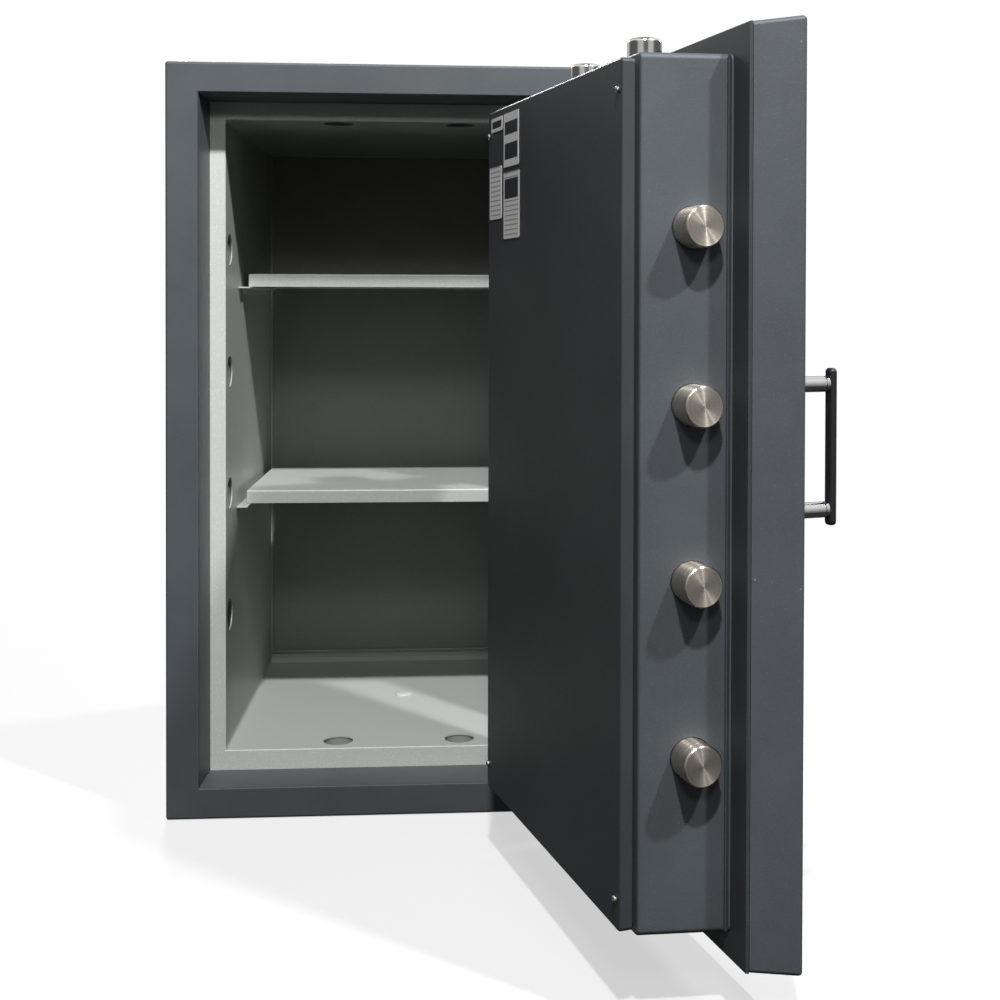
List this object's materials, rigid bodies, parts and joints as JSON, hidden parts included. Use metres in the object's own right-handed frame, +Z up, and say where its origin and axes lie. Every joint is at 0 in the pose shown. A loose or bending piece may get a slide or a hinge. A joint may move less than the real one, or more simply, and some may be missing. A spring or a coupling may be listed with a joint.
{
  "type": "gun safe",
  "caption": "Fire resisting gun safe with a recessed bolt-work door standing open, folded shelves, external barrel hinges, dial, lever and pull handle.",
  "frame": {"origin": "centre of the underside of the body, where it stands on the floor", "axes": "+Z up; -Y out of the door opening, towards the user; hinges on the +X side"},
  "size_m": [0.7193, 1.1158, 0.95],
  "materials": {
    "charcoal_coat": "fine textured charcoal powder coat",
    "dark_coat": "satin dark powder coat",
    "light_grey_paint": "light grey powder coat",
    "fire_fill": "cast fire resisting fill",
    "brushed_steel": "turned and brushed steel",
    "zinc_plate": "zinc plated steel",
    "chrome": "bright chrome",
    "black_paint": "satin black paint",
    "black_rubber": "matt black",
    "sticker": "plain printed sticker",
    "brass": "cast brass",
    "black_plastic": "black"
  },
  "bodies": {
    "body": {"body_shell": "charcoal_coat", "door_jamb": "charcoal_coat", "body_fire_fill": "fire_fill", "liner_flange": "light_grey_paint", "liner_left": "light_grey_paint", "liner_right": "light_grey_paint", "liner_top": "light_grey_paint", "liner_floor": "light_grey_paint", "liner_back": "light_grey_paint", "floor_plug": "black_plastic", "hinge_lower_body": "charcoal_coat", "hinge_upper_body": "charcoal_coat", "shelf_upper_runner_left": "light_grey_paint", "shelf_upper_runner_right": "light_grey_paint", "shelf_lower_runner_left": "light_grey_paint", "shelf_lower_runner_right": "light_grey_paint"},
    "hinge_pins": {"hinge_lower_pin": "brushed_steel", "hinge_upper_pin": "brushed_steel"},
    "door": {"door_skin": "charcoal_coat", "door_fire_fill": "fire_fill", "door_back_plate": "dark_coat", "bolt_box": "charcoal_coat", "dead_bar": "charcoal_coat", "cover_spacer": "black_rubber", "bolt_cover": "dark_coat", "cover_screw_1": "chrome", "cover_screw_2": "chrome", "cover_screw_3": "chrome", "cover_screw_4": "chrome", "sticker_1": "sticker", "sticker_2": "sticker", "sticker_3": "sticker", "sticker_4": "sticker", "hinge_lower_door": "charcoal_coat", "hinge_upper_door": "charcoal_coat", "handle_rose": "chrome", "dial_ring": "black_paint", "lock_case": "brass", "pull_bar": "black_paint", "pull_post_upper": "chrome", "pull_post_lower": "chrome"},
    "side_boltwork": {"side_bolt_1": "brushed_steel", "side_bolt_2": "brushed_steel", "side_bolt_3": "brushed_steel", "side_bolt_4": "brushed_steel", "side_bolt_bar": "zinc_plate"},
    "top_boltwork": {"top_bolt_1": "brushed_steel", "top_bolt_2": "brushed_steel", "top_bolt_bar": "zinc_plate"},
    "bottom_boltwork": {"bottom_bolt_1": "brushed_steel", "bottom_bolt_2": "brushed_steel", "bottom_bolt_bar": "zinc_plate"},
    "handle": {"handle_lever": "chrome", "handle_spindle": "zinc_plate", "bolt_cam": "zinc_plate"},
    "dial_set": {"dial": "black_paint", "dial_spindle": "zinc_plate"},
    "lock_bolt": {"lock_bolt": "brass"},
    "upper_shelf": {"shelf_upper": "light_grey_paint"},
    "lower_shelf": {"shelf_lower": "light_grey_paint"}
  },
  "joints": [
    {"name": "door_swing", "type": "hinge", "parent": "body", "child": "hinge_pins", "pos_m": [0.2685, -0.316, 0.2165], "axis": [0, 0, 1], "range_deg": [-87.7, 68]},
    {"name": "door_last_swing", "type": "hinge", "parent": "hinge_pins", "child": "door", "pos_m": [0.2685, -0.316, 0.2165], "axis": [0, 0, 1], "range_deg": [-18, 0]},
    {"name": "handle_turn", "type": "hinge", "parent": "door", "child": "handle", "pos_m": [0.3057, -0.55329, 0.47], "axis": [0.9627, 0.2706, 0], "range_deg": [-60, 30]},
    {"name": "side_bolts_slide", "type": "slide", "parent": "door", "child": "side_boltwork", "axis": [0.2706, -0.9627, 0], "range_m": [-0.0271, 0.0136]},
    {"name": "top_bolts_slide", "type": "slide", "parent": "door", "child": "top_boltwork", "axis": [0, 0, 1], "range_m": [-0.0311, 0.0156]},
    {"name": "bottom_bolts_slide", "type": "slide", "parent": "door", "child": "bottom_boltwork", "axis": [0, 0, -1], "range_m": [-0.0271, 0.0136]},
    {"name": "dial_spin", "type": "hinge", "parent": "door", "child": "dial_set", "pos_m": [0.30473, -0.55356, 0.64], "axis": [0.9627, 0.2706, 0], "continuous": true},
    {"name": "lock_bolt_slide", "type": "slide", "parent": "door", "child": "lock_bolt", "axis": [0, 0, 1], "range_m": [0, 0.009]},
    {"name": "upper_shelf_lift", "type": "slide", "parent": "body", "child": "upper_shelf", "axis": [0, 0, 1], "range_m": [0, 0.06]},
    {"name": "lower_shelf_lift", "type": "slide", "parent": "body", "child": "lower_shelf", "axis": [0, 0, 1], "range_m": [0, 0.06]}
  ],
  "couplings": [
    {"joint": "side_bolts_slide", "follows": "handle_turn", "m_per_rad": 0.025783},
    {"joint": "top_bolts_slide", "follows": "handle_turn", "m_per_rad": 0.029603},
    {"joint": "bottom_bolts_slide", "follows": "handle_turn", "m_per_rad": 0.025783}
  ]
}
